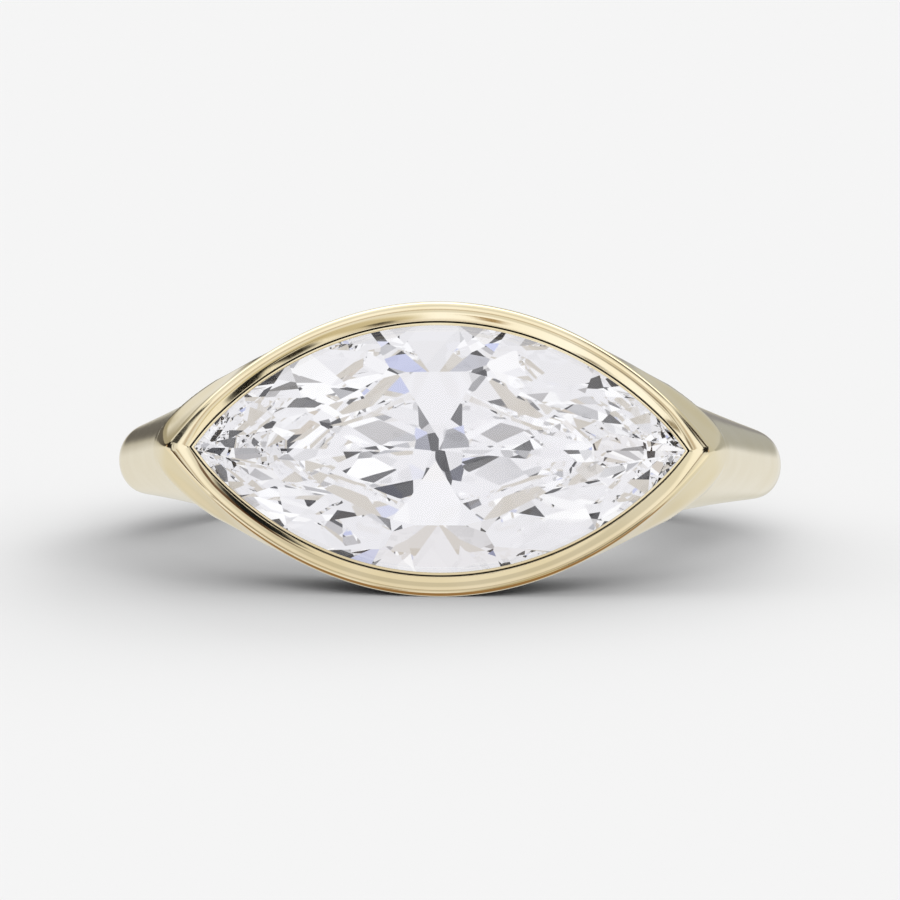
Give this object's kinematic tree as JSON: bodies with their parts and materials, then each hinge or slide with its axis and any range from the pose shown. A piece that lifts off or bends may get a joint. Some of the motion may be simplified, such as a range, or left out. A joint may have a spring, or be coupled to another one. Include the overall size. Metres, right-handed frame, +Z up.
{
  "type": "marquise diamond ring",
  "caption": "Polished yellow gold finger ring with an east-west marquise brilliant diamond held in a smooth bezel between widening shoulders.",
  "frame": {"origin": "bottom centre of the bounding box, on the surface that the ring lies on", "axes": "+Z up, the stone faces -Y and a little up, +X along the stone's length; the finger hole runs near Z, leaning 8.8 degrees towards +Y"},
  "size_m": [0.02, 0.023, 0.0085],
  "materials": {
    "gold": "polished pale yellow gold",
    "diamond": "cut and polished colourless diamond"
  },
  "bodies": {
    "root": {"gold_ring": "gold", "diamond": "diamond"}
  },
  "joints": []
}
